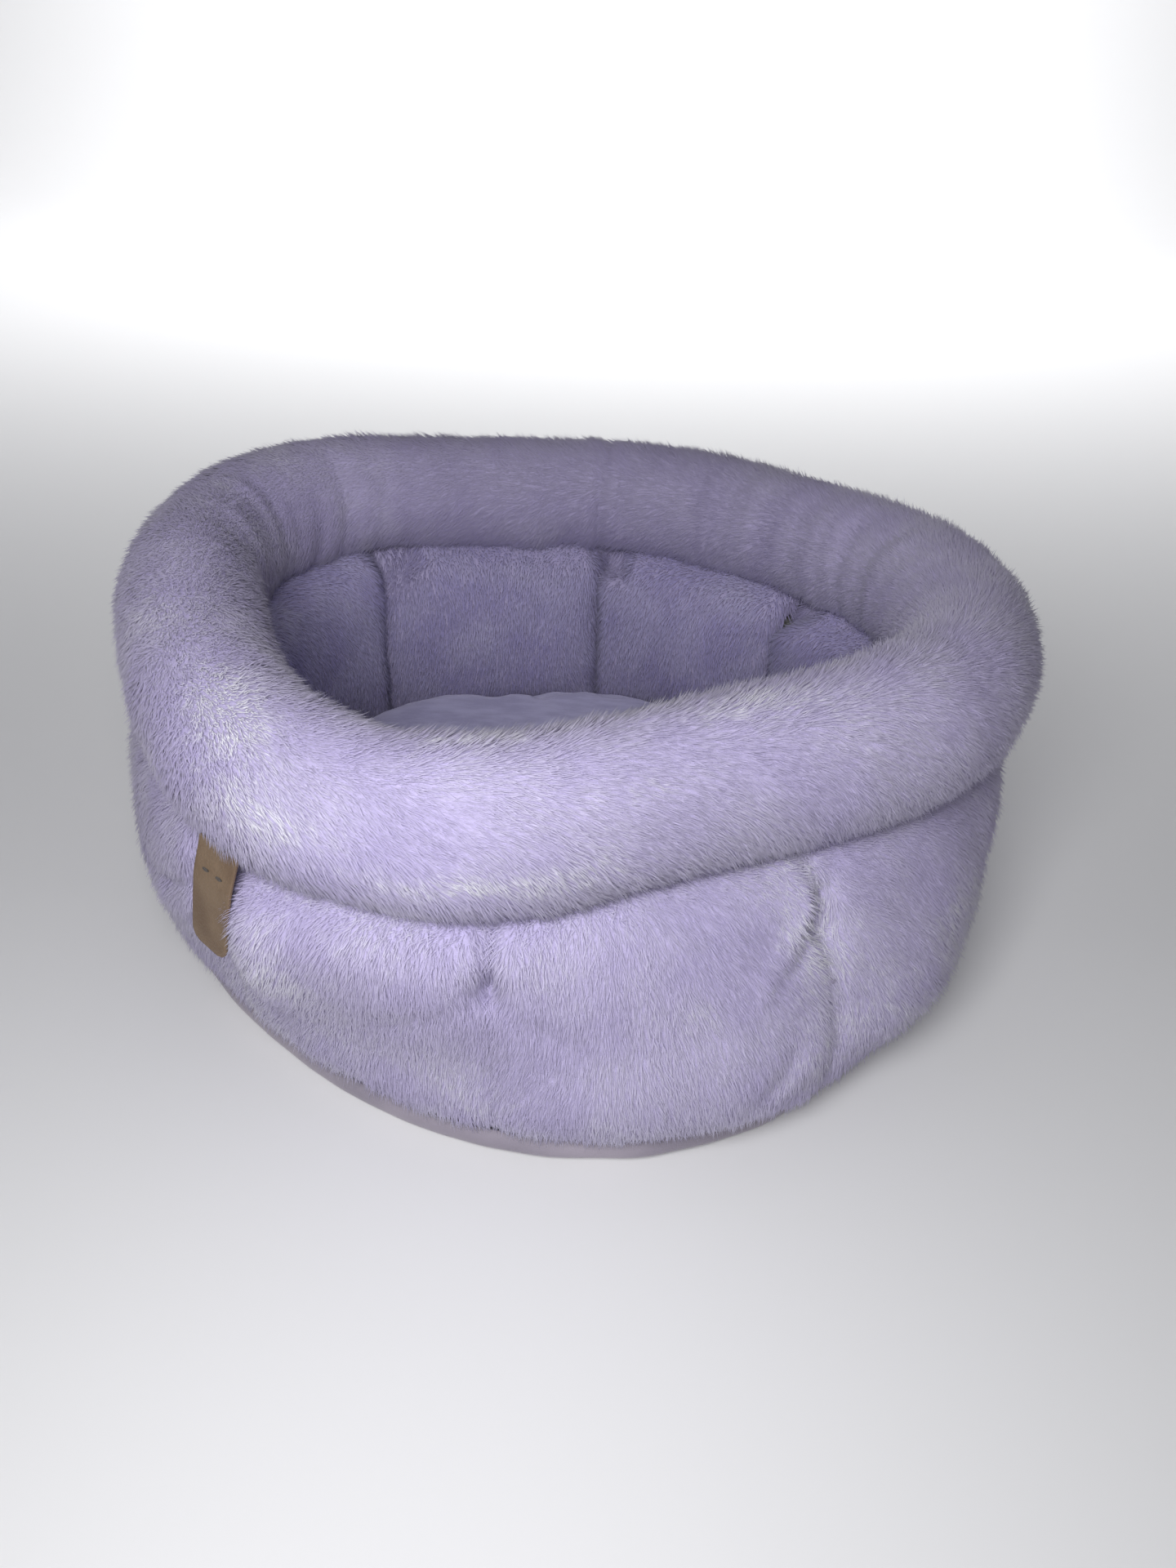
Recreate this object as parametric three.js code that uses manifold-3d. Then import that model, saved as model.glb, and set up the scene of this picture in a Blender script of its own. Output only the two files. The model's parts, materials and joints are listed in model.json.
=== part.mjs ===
// Round bolster pet bed: a stuffed plush rim on a padded plush wall of eight sewn sections,
// a padded base with a smooth underside, a loose crowned cushion and a tag sewn into the rim seam.
// Millimetres, +Z up. The bed stands on z = 0 with the middle of its outline over the origin.
import * as THREE from 'three';
import { mergeVertices } from 'three/addons/utils/BufferGeometryUtils.js';
import Module from 'manifold-3d';

const wasm = await Module();
wasm.setup();

// Rim
const rimRadius = 192;         // mean radius of its centre line
const rimHalfWidth = 35.6;
const rimHalfHeight = 38.3;
const rimHeight = 172.4;       // centre line above the floor
const rimSeamAngle = 42;       // below the rim's sides, where the two wall skins are sewn on
const rimSlitAngle = 9;        // half of the slot under the rim that it is stuffed through
const rimSteps = 11;           // faces round its section

// Wall
const wallOutset = 38;         // outer skin where it is fullest, outside the rim's centre line
const wallFullHeight = 84;
const neckDepth = 32;          // below the rim, where the wall starts to turn in to meet it
const innerInset = 34;         // inner skin where it is fullest, inside the rim's centre line
const innerFootInset = 27;
const outerDip = 5;            // how far a seam pulls the outer skin in
const innerDip = 6;
const fillingTuck = 14;        // degrees from the rim seam in to the corners of the wall's filling
const tackDrop = 12;           // the thread tack through the wall at each seam, below the neck

// Base
const baseOutset = 20;         // the base panel's turned-up edge, outside the rim's centre line
const baseCorner = 9;          // rounding of that edge
const hemHeight = 12;          // top of that edge, where the outer skin starts
const padThickness = 10;

// Cushion
const cushionSeamHeight = 11;  // its seam above its own underside
const cushionShoulder = 25;
const cushionCrown = 43;
const cushionRoom = 4;         // all round, to the rim that it lifts out through

// Tag
const tagWidth = 25;
const tagLength = 64;
const tagThickness = 1.4;
const tagCorner = 6;           // rounding of its free end
const tagSection = 4;          // it hangs just past the seam where this section starts
const tagAlong = 0.14;
const tagSteps = 7;
const tagStitchLength = 4;
const tagStitchPitch = 9;
const tagStitchDrop = 6;

// Cloth and fits
const plush = 3;
const smoothCloth = 1.2;
const threadRadius = 0.8;
const knotRadius = 2;
const knotStand = 3;           // how far a knot stands off the bottom of its dimple
const clearance = 0.4;         // between pieces that touch
const slack = 5;               // between a skin and its filling
const bodyGap = 2;             // between the bed and a piece that moves

// Seams between the wall's sections, in degrees from +X, anticlockwise
const seams = [38, 83, 132, 180, 228, 265.5, 304, 350];
const sections = seams.length;
const stepsPerSection = 6;

// Sewing pulls each ring out of round: lobes, size as a share of the radius, degrees to a lobe
const rimPull = [[2, 0.028, -4], [3, 0.044, 11], [4, 0.038, -22], [6, 0.01, 17]];
const wallPull = [[2, 0.04, -46], [3, 0.026, 60], [4, 0.015, 36]];
const basePull = [[2, 0.005, -44], [3, 0.044, 51]];
const rimSway = [[1, 0.011, -146], [2, 0.016, -18]];   // the rim's height, likewise
const rimSwell = [[1, 0.019, -89], [2, 0.044, -3]];    // the rim's thickness, likewise

const wallRadius = rimRadius + wallOutset;
const innerWallRadius = rimRadius - innerInset;
const innerFootRadius = rimRadius - innerFootInset;
const baseRadius = rimRadius + baseOutset;
const rimUnderside = rimHeight - rimHalfHeight;
const wallNeck = rimUnderside - neckDepth;
const tackHeight = wallNeck - tackDrop;
const mouthInset = Math.max(rimHalfWidth, innerInset);

const degrees = THREE.MathUtils.degToRad;
const mix = THREE.MathUtils.lerp;
const ease = THREE.MathUtils.smoothstep;

function pulled(terms, angle) {
  return terms.reduce((sum, [lobes, share, turn]) => sum + share * Math.cos(lobes * (angle - degrees(turn))), 1);
}

// Even steps round a plain ring become steps that land on the seams
function sewnAngle(evenAngle) {
  const along = THREE.MathUtils.euclideanModulo(evenAngle / (2 * Math.PI), 1) * sections;
  const section = Math.min(Math.floor(along), sections - 1);
  const from = seams[section];
  const to = section + 1 < sections ? seams[section + 1] : seams[0] + 360;
  return degrees(mix(from, to, along - section));
}

// 1 on a seam and 0 in the middle of a section
function seamPull(evenAngle) {
  return 1 - Math.abs(Math.sin(evenAngle * sections / 2)) ** 0.7;
}

function rimPoint(angle, outwards = 0) {
  const turn = degrees(angle);
  const x = rimRadius + (rimHalfWidth + outwards) * Math.cos(turn);
  return new THREE.Vector2(x, rimHeight + (rimHalfHeight + outwards) * Math.sin(turn));
}

// The wall's two skins in section, from the foot up to the rim
const outerTop = rimPoint(-rimSeamAngle, clearance);
const innerTop = rimPoint(180 + rimSeamAngle, clearance);
const outerSkin = new THREE.SplineCurve([
  new THREE.Vector2(baseRadius + 1, hemHeight + clearance),
  new THREE.Vector2(mix(baseRadius, wallRadius, 0.72), mix(hemHeight, wallFullHeight, 0.35)),
  new THREE.Vector2(wallRadius, wallFullHeight),
  new THREE.Vector2(wallRadius - 1.5, mix(wallFullHeight, outerTop.y, 0.6)),
  outerTop,
]).getPoints(6);
const innerSkin = new THREE.SplineCurve([
  new THREE.Vector2(innerFootRadius, smoothCloth + clearance),
  new THREE.Vector2(innerWallRadius + 0.5, wallFullHeight / 2),
  new THREE.Vector2(innerWallRadius, wallFullHeight),
  new THREE.Vector2(innerWallRadius + 1.5, mix(wallFullHeight, innerTop.y, 0.6)),
  innerTop,
]).getPoints(6);

function across(line, height) {
  const above = line.findIndex((point) => point.y >= height);
  if (above === 0) return line[0].x;
  if (above < 0) return line[line.length - 1].x;
  const [a, b] = [line[above - 1], line[above]];
  return mix(a.x, b.x, (height - a.y) / (b.y - a.y));
}

// Takes a point of the plain round bed to where the sewn bed has it
function place(evenAngle, radius, height) {
  const angle = sewnAngle(evenAngle);
  const rimShift = rimRadius * (pulled(rimPull, angle) - 1);
  const wallShift = wallRadius * (pulled(wallPull, angle) - 1);
  const baseShift = baseRadius * (pulled(basePull, angle) - 1);
  const rise = THREE.MathUtils.clamp((height - hemHeight) / (outerTop.y - hemHeight), 0, 1);
  const dip = seamPull(evenAngle) * Math.sin(Math.PI * rise);
  const inner = across(innerSkin, height);
  const outer = across(outerSkin, height);
  const innerNow = inner + rimShift + innerDip * dip;
  const outerShift = mix(baseShift, wallShift, ease(height, 0, wallFullHeight * 0.8));
  const outerNow = outer + outerShift - outerDip * dip;
  const share = (radius - inner) / (outer - inner);
  const wallNow = share < 0 ? radius * innerNow / inner : mix(innerNow, outerNow, share);
  const swell = pulled(rimSwell, angle);
  const rimNow = rimRadius + rimShift + swell * (radius - rimRadius);
  const rimHeightNow = rimHeight * pulled(rimSway, angle) + swell * (height - rimHeight);
  const rimShare = ease(height, wallNeck, rimUnderside);
  const radiusNow = mix(wallNow, rimNow, rimShare);
  const heightNow = mix(height, rimHeightNow, rimShare);
  return new THREE.Vector3(radiusNow * Math.cos(angle), radiusNow * Math.sin(angle), heightNow);
}

// A point on the facets of a wall skin as it is sewn, at a height above the floor
function skinAt(skin, evenAngle, height) {
  const step = 2 * Math.PI / sections / stepsPerSection;
  const from = Math.floor(evenAngle / step);
  const [before, after] = [from, from + 1].map((index) => {
    const line = skin.map((point) => place(index * step, point.x, point.y));
    const above = Math.max(line.findIndex((point) => point.z >= height), 1);
    const [low, high] = [line[above - 1], line[above]];
    return low.clone().lerp(high, (height - low.z) / (high.z - low.z));
  });
  return before.lerp(after, evenAngle / step - from);
}

// The outline that the cushion lifts out through, as a radius
function mouthRadius(evenAngle) {
  return place(evenAngle, rimRadius - mouthInset, rimHeight).setZ(0).length();
}

function moulded(geometry, toPlace = (point) => point) {
  const position = geometry.attributes.position;
  const point = new THREE.Vector3();
  for (let i = 0; i < position.count; i += 1) {
    point.fromBufferAttribute(position, i);
    position.setXYZ(i, ...toPlace(point));
  }
  geometry.deleteAttribute('normal');
  geometry.deleteAttribute('uv');
  return mergeVertices(geometry, 1e-3);
}

function lathed(profile) {
  return new THREE.LatheGeometry(profile, sections * stepsPerSection).rotateX(Math.PI / 2);
}

function sewn({ x, y, z }) {
  return place(Math.atan2(y, x), Math.hypot(x, y), z);
}

function ring(profile) {
  return moulded(lathed([...profile, profile[0]]), sewn);
}

function disc(profile) {
  return moulded(lathed(profile), sewn);
}

function section(index, profile) {
  const trim = clearance / 2 / innerWallRadius;
  const span = 2 * Math.PI / sections;
  const straight = new THREE.ExtrudeGeometry(new THREE.Shape(profile), {
    depth: 1, steps: stepsPerSection, bevelEnabled: false,
  });
  return moulded(straight, ({ x, y, z }) => place((index + 1 - z) * span - mix(trim, -trim, z), x, y));
}

// A line and its copy to one side make the outline of a piece of cloth
function cloth(line, thickness) {
  return [...line, ...offset(line, thickness).reverse()];
}

// A wall skin is cut to the rim's curve along its top
function skinOutline(line, thickness, topAngle) {
  const trimmed = rimPoint(topAngle, clearance);
  return [...line, trimmed, ...offset(line, thickness).slice(0, -1).reverse()];
}

function offset(line, distance) {
  return line.map((point, i) => {
    const before = line[Math.max(i - 1, 0)];
    const after = line[Math.min(i + 1, line.length - 1)];
    const along = after.clone().sub(before).normalize();
    const x = point.x === 0 ? 0 : point.x - along.y * distance;
    return new THREE.Vector2(x, point.y + along.x * distance);
  });
}

function arc(from, to, steps, outwards = 0) {
  return Array.from({ length: steps + 1 }, (_, i) => rimPoint(mix(from, to, i / steps), outwards));
}

function solidOf(geometry) {
  const vertProperties = new Float32Array(geometry.attributes.position.array);
  const triVerts = new Uint32Array(geometry.index.array);
  return new wasm.Manifold(new wasm.Mesh({ numProp: 3, vertProperties, triVerts }));
}

function geometryOf(solid) {
  const mesh = solid.getMesh();
  const geometry = new THREE.BufferGeometry();
  geometry.setAttribute('position', new THREE.BufferAttribute(mesh.vertProperties, 3));
  geometry.setIndex(new THREE.BufferAttribute(mesh.triVerts, 1));
  return geometry;
}

const finishes = {
  plush: new THREE.MeshStandardMaterial({ color: 0xb0a8cc, roughness: 0.95, metalness: 0 }),
  velour: new THREE.MeshStandardMaterial({ color: 0x857ea2, roughness: 0.8, metalness: 0 }),
  smooth: new THREE.MeshStandardMaterial({ color: 0x9a90b0, roughness: 0.75, metalness: 0 }),
  wadding: new THREE.MeshStandardMaterial({ color: 0xf2f0ec, roughness: 1, metalness: 0 }),
  thread: new THREE.MeshStandardMaterial({ color: 0x8a80a8, roughness: 0.9, metalness: 0 }),
  tan: new THREE.MeshStandardMaterial({ color: 0xb4946a, roughness: 0.6, metalness: 0 }),
  brownThread: new THREE.MeshStandardMaterial({ color: 0x3c2c20, roughness: 0.9, metalness: 0 }),
};

const bed = new THREE.Group();

function add(name, geometry, finish, group = bed) {
  const mesh = new THREE.Mesh(geometry, finishes[finish]);
  mesh.name = name;
  group.add(mesh);
  return mesh;
}

// Base: a shallow smooth dish, a pad in it and the floor cloth sewn in over the pad
const baseLine = [
  new THREE.Vector2(0, 0),
  new THREE.Vector2((baseRadius - baseCorner) / 2, 0),
  new THREE.Vector2(baseRadius - baseCorner, 0),
  new THREE.Vector2(baseRadius - baseCorner * 0.3, baseCorner * 0.3),
  new THREE.Vector2(baseRadius, baseCorner),
  new THREE.Vector2(baseRadius, hemHeight),
];
add('base_panel', disc(cloth(baseLine, smoothCloth)), 'smooth');

const padBottom = smoothCloth + clearance;
const padTop = padBottom + padThickness;
const liningTop = padTop + clearance + smoothCloth;
const floorRadius = across(innerSkin, liningTop) - clearance;

function slab(bottom, top, radius) {
  return [[0, bottom], [radius / 2, bottom], [radius, bottom], [radius, top], [radius / 2, top], [0, top]]
    .map(([x, y]) => new THREE.Vector2(x, y));
}

add('base_pad', disc(slab(padBottom, padTop, floorRadius)), 'wadding');
add('floor_lining', disc(slab(liningTop - smoothCloth, liningTop, floorRadius)), 'smooth');

// Wall: inner and outer plush skins with a stuffed filling between, one of each to a section
const behind = plush + slack;
const fillingProfile = [
  new THREE.Vector2(innerFootRadius + behind, padBottom),
  ...offset(baseLine, padBottom).slice(2, 4),
  ...offset(outerSkin, behind).slice(0, -1),
  ...arc(-rimSeamAngle - fillingTuck, rimSeamAngle + fillingTuck - 180, 4, slack),
  ...offset(innerSkin, -behind).slice(1, -1).reverse(),
];

// A seam's tack runs square through the wall between two sections
const tacks = seams.map((_, seam) => {
  const evenAngle = seam * 2 * Math.PI / sections;
  const inside = skinAt(innerSkin, evenAngle, tackHeight);
  const outside = skinAt(outerSkin, evenAngle, tackHeight);
  const along = outside.clone().sub(inside);
  const turn = new THREE.Quaternion().setFromUnitVectors(new THREE.Vector3(0, 1, 0), along.clone().normalize());
  return { middle: inside.add(outside).divideScalar(2), reach: along.length() / 2, turn };
});

function tackHole({ middle, reach, turn }) {
  const hole = new THREE.CylinderGeometry(threadRadius + clearance, threadRadius + clearance, 4 * reach, 8);
  hole.applyQuaternion(turn).translate(...middle);
  return solidOf(moulded(hole));
}

// A hole on a seam can leave a sliver behind, so the largest body is the piece
function drilled(index, profile) {
  const holes = [tacks[index], tacks[(index + 1) % sections]].map(tackHole);
  const cut = holes.reduce((solid, hole) => solid.subtract(hole), solidOf(section(index, profile)));
  return geometryOf(cut.decompose().reduce((a, b) => (a.volume() > b.volume() ? a : b)));
}

const trimAngle = THREE.MathUtils.radToDeg(plush / rimHalfWidth);
const outerProfile = skinOutline(outerSkin, plush, -rimSeamAngle - trimAngle);
const innerProfile = skinOutline(innerSkin, -plush, 180 + rimSeamAngle + trimAngle);
for (let index = 0; index < sections; index += 1) {
  add(`outer_panel_${index + 1}`, drilled(index, outerProfile), 'plush');
  add(`inner_panel_${index + 1}`, drilled(index, innerProfile), 'plush');
  add(`wall_filling_${index + 1}`, drilled(index, fillingProfile), 'wadding');
}

tacks.forEach(({ middle, reach, turn }, seam) => {
  const knotAt = reach + knotStand;
  const half = [[threadRadius, knotAt], [knotRadius, knotAt], [knotRadius * 0.8, knotAt + threadRadius]];
  const outline = [...half, [0, knotAt + threadRadius]].map(([x, y]) => new THREE.Vector2(x, y));
  const mirrored = outline.map(({ x, y }) => new THREE.Vector2(x, -y)).reverse();
  const thread = new THREE.LatheGeometry([...mirrored, ...outline], 8);
  const tack = add(`seam_tack_${seam + 1}`, moulded(thread), 'thread');
  tack.quaternion.copy(turn);
  tack.position.copy(middle);
});

// Rim: a plush tube, open along its underside, round a stuffed ring
function rimArc(outwards) {
  return arc(rimSlitAngle - 90, 270 - rimSlitAngle, rimSteps, outwards);
}

add('rim_cover', ring([...rimArc(0), ...rimArc(-plush).reverse()]), 'plush');
add('rim_filling', ring(rimArc(-plush - clearance)), 'wadding');

// Cushion: a crowned top cover and a shallow bottom cover, sewn edge to edge round a filling
const cushionRadius = rimRadius - mouthInset - cushionRoom;
const cushionTop = [
  ...new THREE.SplineCurve([
    new THREE.Vector2(0, cushionCrown),
    new THREE.Vector2(cushionRadius * 0.5, cushionCrown - 3),
    new THREE.Vector2(cushionRadius * 0.92, cushionShoulder),
    new THREE.Vector2(cushionRadius, cushionSeamHeight + 5),
  ]).getPoints(5),
  new THREE.Vector2(cushionRadius, cushionSeamHeight),
];
const cushionUnder = [
  new THREE.Vector2(0, 0),
  new THREE.Vector2(cushionRadius * 0.5, 0),
  new THREE.Vector2(cushionRadius - cushionSeamHeight, 0),
  new THREE.Vector2(cushionRadius, cushionSeamHeight * 0.6),
  new THREE.Vector2(cushionRadius, cushionSeamHeight - clearance),
];

function cushionPiece(profile) {
  return moulded(lathed(profile), ({ x, y, z }) => {
    const evenAngle = Math.atan2(y, x);
    const angle = sewnAngle(evenAngle);
    const radius = Math.hypot(x, y) / cushionRadius * (mouthRadius(evenAngle) - cushionRoom);
    return new THREE.Vector3(radius * Math.cos(angle), radius * Math.sin(angle), z);
  });
}

const cushion = new THREE.Group();
cushion.position.z = liningTop + clearance;
bed.add(cushion);
const inCover = smoothCloth + clearance;
const cushionFill = [
  ...offset(cushionUnder, inCover).slice(0, -1),
  ...offset(cushionTop, -inCover).slice(0, -1).reverse(),
];
const topCover = [...offset(cushionTop, -smoothCloth), ...cushionTop.slice().reverse()];
add('cushion_top_cover', cushionPiece(topCover), 'velour', cushion);
add('cushion_bottom_cover', cushionPiece(cloth(cushionUnder, smoothCloth)), 'smooth', cushion);
add('cushion_filling', cushionPiece(cushionFill), 'wadding', cushion);

// Tag: a strip with a rounded end that hangs from the rim seam and lies on the wall.
// In its own group X points out of the bed, Y along the wall and Z up.
const tagEven = (tagSection + tagAlong) * 2 * Math.PI / sections;
const tag = new THREE.Group();
tag.rotation.z = sewnAngle(tagEven);
bed.add(tag);

// How far out the wall comes under the tag's width, near a height
function wallReach(height) {
  const halfAngle = tagWidth / 2 / wallRadius;
  const halfStep = tagLength / tagSteps / 2;
  const up = new THREE.Vector3(0, 0, 1);
  const around = [-1, -0.5, 0, 0.5, 1].flatMap((side) => [-halfStep, 0, halfStep].map((rise) => {
    const point = skinAt(outerSkin, tagEven + side * halfAngle, Math.min(height + rise, tagTop));
    return point.applyAxisAngle(up, -tag.rotation.z).x;
  }));
  return Math.max(...around);
}

const tagTop = place(tagEven, outerTop.x, outerTop.y).z - bodyGap;
const tagLine = Array.from({ length: tagSteps + 1 }, (_, i) => {
  const height = tagTop - i / tagSteps * tagLength;
  return new THREE.Vector2(wallReach(height) + bodyGap, height);
});
const tagFront = offset(tagLine, tagThickness);
const strip = new THREE.ExtrudeGeometry(new THREE.Shape([...tagLine, ...tagFront.reverse()]), {
  depth: tagWidth, bevelEnabled: false,
});
strip.rotateX(Math.PI / 2).translate(0, tagWidth / 2, 0);

const tagEnd = tagLine[tagSteps].y;
const tongue = new THREE.Shape();
tongue.moveTo(-tagWidth, rimHeight);
tongue.lineTo(-tagWidth / 2, tagEnd + tagCorner);
tongue.absarc(tagCorner - tagWidth / 2, tagEnd + tagCorner, tagCorner, Math.PI, 1.5 * Math.PI);
tongue.absarc(tagWidth / 2 - tagCorner, tagEnd + tagCorner, tagCorner, 1.5 * Math.PI, 2 * Math.PI);
tongue.lineTo(tagWidth, rimHeight);
const cutter = new THREE.ExtrudeGeometry(tongue, {
  depth: 2 * wallRadius, bevelEnabled: false, curveSegments: 4,
});
cutter.rotateX(Math.PI / 2).rotateZ(Math.PI / 2);

const cutTag = solidOf(moulded(strip)).intersect(solidOf(moulded(cutter)));
add('label_tag', geometryOf(cutTag), 'tan', tag);

const stitchHeight = tagTop - tagStitchDrop;
const stitchReach = across(tagFront, stitchHeight) + threadRadius + bodyGap;
for (const [name, side] of [['label_stitch_left', -1], ['label_stitch_right', 1]]) {
  const thread = new THREE.CylinderGeometry(threadRadius, threadRadius, tagStitchLength, 6);
  const stitch = add(name, moulded(thread), 'brownThread', tag);
  stitch.position.set(stitchReach, side * tagStitchPitch / 2, stitchHeight);
}

const extent = new THREE.Box3().setFromObject(bed);
const middle = extent.getCenter(new THREE.Vector3());
bed.position.set(-middle.x, -middle.y, -extent.min.z);

export default bed;
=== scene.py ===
import json
import math

import bmesh
import bpy
import numpy as np
from mathutils import Euler, Matrix, Vector, noise
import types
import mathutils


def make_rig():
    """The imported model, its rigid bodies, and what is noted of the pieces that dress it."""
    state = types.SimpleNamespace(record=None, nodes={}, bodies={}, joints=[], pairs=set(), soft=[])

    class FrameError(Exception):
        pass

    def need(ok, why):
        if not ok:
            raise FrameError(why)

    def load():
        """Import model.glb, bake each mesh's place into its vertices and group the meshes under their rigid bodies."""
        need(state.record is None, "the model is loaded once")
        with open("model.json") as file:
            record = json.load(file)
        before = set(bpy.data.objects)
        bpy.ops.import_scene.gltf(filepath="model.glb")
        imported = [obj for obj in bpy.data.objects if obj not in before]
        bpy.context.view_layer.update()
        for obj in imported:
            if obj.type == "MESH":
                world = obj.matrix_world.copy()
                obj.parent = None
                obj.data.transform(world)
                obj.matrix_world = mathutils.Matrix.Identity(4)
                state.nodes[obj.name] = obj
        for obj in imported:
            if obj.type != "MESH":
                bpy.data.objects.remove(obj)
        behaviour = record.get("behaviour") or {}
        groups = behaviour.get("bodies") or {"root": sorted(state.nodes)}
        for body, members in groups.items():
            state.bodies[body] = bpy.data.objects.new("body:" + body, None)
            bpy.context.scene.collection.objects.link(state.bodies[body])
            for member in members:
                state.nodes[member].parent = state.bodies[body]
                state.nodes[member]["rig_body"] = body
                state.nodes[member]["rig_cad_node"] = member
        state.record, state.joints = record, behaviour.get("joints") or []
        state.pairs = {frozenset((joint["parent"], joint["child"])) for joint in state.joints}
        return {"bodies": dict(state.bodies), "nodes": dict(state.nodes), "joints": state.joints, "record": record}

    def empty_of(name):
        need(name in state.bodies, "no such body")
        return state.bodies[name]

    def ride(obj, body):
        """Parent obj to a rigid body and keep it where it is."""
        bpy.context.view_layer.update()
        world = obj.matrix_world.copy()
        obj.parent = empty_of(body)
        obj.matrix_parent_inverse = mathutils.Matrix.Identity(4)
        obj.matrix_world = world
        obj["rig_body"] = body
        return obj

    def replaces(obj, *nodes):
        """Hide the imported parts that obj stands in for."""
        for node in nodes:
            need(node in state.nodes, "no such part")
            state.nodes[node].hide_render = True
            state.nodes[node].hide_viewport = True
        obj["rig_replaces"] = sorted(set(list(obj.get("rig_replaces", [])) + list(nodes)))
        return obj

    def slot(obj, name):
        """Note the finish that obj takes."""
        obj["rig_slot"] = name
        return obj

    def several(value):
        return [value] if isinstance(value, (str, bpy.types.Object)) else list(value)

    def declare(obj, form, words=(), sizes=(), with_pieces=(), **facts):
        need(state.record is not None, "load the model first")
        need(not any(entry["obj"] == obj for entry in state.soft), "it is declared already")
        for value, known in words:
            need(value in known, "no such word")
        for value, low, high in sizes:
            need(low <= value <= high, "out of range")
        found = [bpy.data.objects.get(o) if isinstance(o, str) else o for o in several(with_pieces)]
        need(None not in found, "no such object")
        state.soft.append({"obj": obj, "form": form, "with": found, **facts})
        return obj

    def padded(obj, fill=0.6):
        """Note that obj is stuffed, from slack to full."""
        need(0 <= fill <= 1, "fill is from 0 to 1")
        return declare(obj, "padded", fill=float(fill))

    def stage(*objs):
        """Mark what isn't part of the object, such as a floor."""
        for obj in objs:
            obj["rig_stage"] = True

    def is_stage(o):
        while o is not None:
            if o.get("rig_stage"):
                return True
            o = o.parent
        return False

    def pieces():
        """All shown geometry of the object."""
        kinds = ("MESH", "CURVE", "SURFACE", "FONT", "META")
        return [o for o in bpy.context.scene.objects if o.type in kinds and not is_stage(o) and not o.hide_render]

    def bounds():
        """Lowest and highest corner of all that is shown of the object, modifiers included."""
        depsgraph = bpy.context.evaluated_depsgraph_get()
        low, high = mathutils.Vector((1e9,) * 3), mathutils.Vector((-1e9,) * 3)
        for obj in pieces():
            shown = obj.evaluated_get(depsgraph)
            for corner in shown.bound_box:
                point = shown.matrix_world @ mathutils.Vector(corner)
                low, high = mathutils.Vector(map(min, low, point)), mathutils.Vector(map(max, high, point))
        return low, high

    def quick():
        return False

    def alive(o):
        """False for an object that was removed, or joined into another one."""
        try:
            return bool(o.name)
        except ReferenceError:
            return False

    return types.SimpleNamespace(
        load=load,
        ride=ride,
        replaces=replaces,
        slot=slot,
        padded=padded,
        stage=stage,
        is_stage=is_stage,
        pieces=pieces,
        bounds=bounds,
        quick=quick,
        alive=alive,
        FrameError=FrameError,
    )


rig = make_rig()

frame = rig.load()
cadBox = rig.bounds()
print("frame loaded")

scene = bpy.context.scene
for name in ("Cube", "Light", "Camera"):
    if name in bpy.data.objects:
        bpy.data.objects.remove(bpy.data.objects[name])

# the bed's sewn shape, in metres: the same rings and pulls that the part is cut to
bed = {
    "middle": (-0.004324, 0.00273),
    "rimRadius": 0.192, "rimWidth": 0.0356, "rimThick": 0.0383, "rimHeight": 0.1724, "rimSeam": 42,
    "wallRadius": 0.230, "wallFull": 0.084, "innerRadius": 0.158, "footRadius": 0.165, "baseRadius": 0.212,
    "hem": 0.012, "neck": 0.1021, "outerDip": 0.005, "innerDip": 0.006,
    "seams": [38, 83, 132, 180, 228, 265.5, 304, 350],
    "rimPull": [(2, 0.028, -4), (3, 0.044, 11), (4, 0.038, -22), (6, 0.01, 17)],
    "wallPull": [(2, 0.04, -46), (3, 0.026, 60), (4, 0.015, 36)],
    "basePull": [(2, 0.005, -44), (3, 0.044, 51)],
    "rimSway": [(1, 0.011, -146), (2, 0.016, -18)],
    "rimSwell": [(1, 0.019, -89), (2, 0.044, -3)],
}
sections = len(bed["seams"])


def mix(a, b, share):
    return a + (b - a) * share


def clamp(value, low=0.0, high=1.0):
    return max(low, min(high, value))


def ease(value, low, high):
    share = clamp((value - low) / (high - low))
    return share * share * (3 - 2 * share)


def bump(value, centre, width):  # 1 at the centre, falling smoothly to 0 at width to each side
    return ease(width - abs(value - centre), 0, width)


def turnGap(a, b):  # signed difference of two angles in degrees
    return (a - b + 180) % 360 - 180


def pulled(terms, angle):
    return 1 + sum(share * math.cos(lobes * (angle - math.radians(turn))) for lobes, share, turn in terms)


def sewnAngle(even):
    along = (even / (2 * math.pi)) % 1 * sections
    index = min(int(along), sections - 1)
    start = bed["seams"][index]
    end = bed["seams"][index + 1] if index + 1 < sections else bed["seams"][0] + 360
    return math.radians(mix(start, end, along - index))


def evenAngle(degrees):  # the plain ring's angle that is sewn to this one
    seams = bed["seams"] + [bed["seams"][0] + 360]
    degrees = (degrees - seams[0]) % 360 + seams[0]
    index = max(i for i in range(sections) if seams[i] <= degrees)
    return (index + (degrees - seams[index]) / (seams[index + 1] - seams[index])) * 2 * math.pi / sections


def seamPull(even):
    return 1 - abs(math.sin(even * sections / 2)) ** 0.7


def rimPoint(degrees, outwards=0.0):
    turn = math.radians(degrees)
    return (bed["rimRadius"] + (bed["rimWidth"] + outwards) * math.cos(turn),
            bed["rimHeight"] + (bed["rimThick"] + outwards) * math.sin(turn))


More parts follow.
